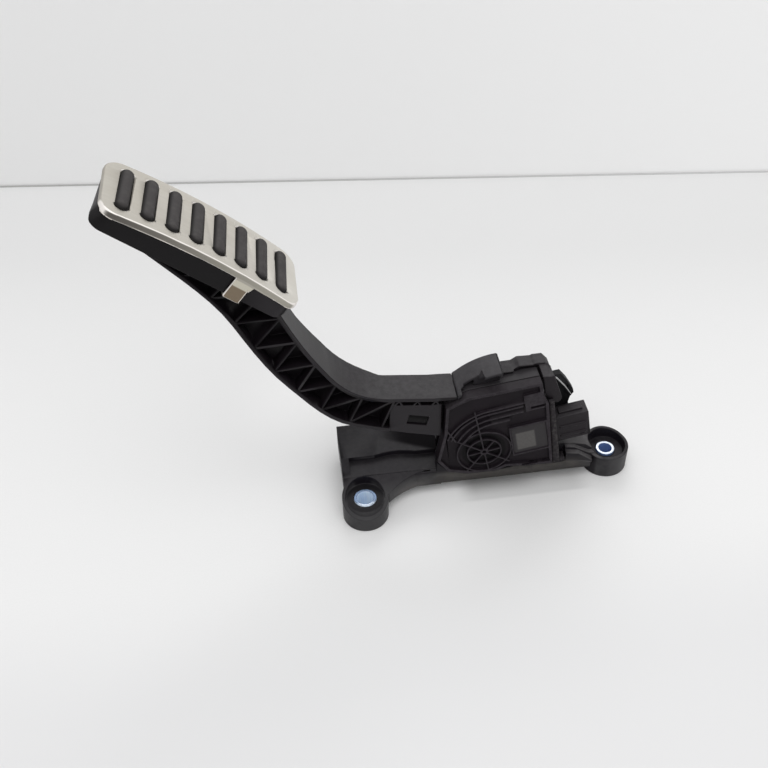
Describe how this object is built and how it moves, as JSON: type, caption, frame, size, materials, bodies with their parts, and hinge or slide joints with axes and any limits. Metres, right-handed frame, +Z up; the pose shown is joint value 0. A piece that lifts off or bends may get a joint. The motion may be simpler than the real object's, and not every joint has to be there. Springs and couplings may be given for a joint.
{
  "type": "accelerator pedal",
  "caption": "Hanging accelerator pedal: truss-ribbed plastic arm, metal tread plate with rubber bars, pivot housing with sensor cover and plug socket on three sleeved feet",
  "frame": {"origin": "Centre of the right-hand fixing sleeve, at the mounting face under the feet", "axes": "+X from the tread to the plug socket and right-hand foot, +Y away from the sensor cover, +Z up from the mounting face"},
  "size_m": [0.2987, 0.0895, 0.2428],
  "materials": {
    "black_plastic": "satin",
    "cover_plastic": "satin",
    "plate_steel": "satin",
    "black_rubber": "matte",
    "seal_rubber": "matte",
    "zinc_steel": "satin",
    "bright_steel": "polished",
    "spring_steel": "satin",
    "bush_bronze": "satin",
    "tinned_brass": "polished",
    "board_green": "gloss",
    "chip_black": "matte",
    "carrier_plastic": "satin",
    "magnet_grey": "satin",
    "shoe_plastic": "satin"
  },
  "bodies": {
    "root": {"base_housing": "black_plastic", "side_cover": "black_plastic", "side_cover_screws": "zinc_steel", "sleeve_near_left": "zinc_steel", "sleeve_far_left": "zinc_steel", "sleeve_right": "zinc_steel", "front_hood": "black_plastic", "rear_hood": "black_plastic", "harness_clip": "black_plastic", "sensor_cover": "cover_plastic", "cover_seal": "seal_rubber", "connector_shroud": "cover_plastic", "connector_pins": "tinned_brass", "sensor_board": "board_green", "hall_chips": "chip_black", "near_bush": "bush_bronze", "far_bush": "bush_bronze", "outer_spring": "spring_steel", "inner_spring": "spring_steel", "friction_shoe": "shoe_plastic", "bump_stop": "black_rubber"},
    "pedal": {"pedal_arm": "black_plastic", "pad_plate": "plate_steel", "rubber_insert": "black_rubber", "magnet_carrier": "carrier_plastic", "magnet": "magnet_grey", "pivot_shaft": "bright_steel", "shaft_ring": "bright_steel", "spring_seat": "carrier_plastic"}
  },
  "joints": [
    {"name": "pedal_travel", "type": "hinge", "parent": "root", "child": "pedal", "pos_m": [-0.085, 0, 0.035], "axis": [0, -1, 0], "range_deg": [0, 16], "stiffness_Nm_per_rad": 18, "springref_deg": -9.57, "deforming": ["outer_spring", "inner_spring"]}
  ]
}
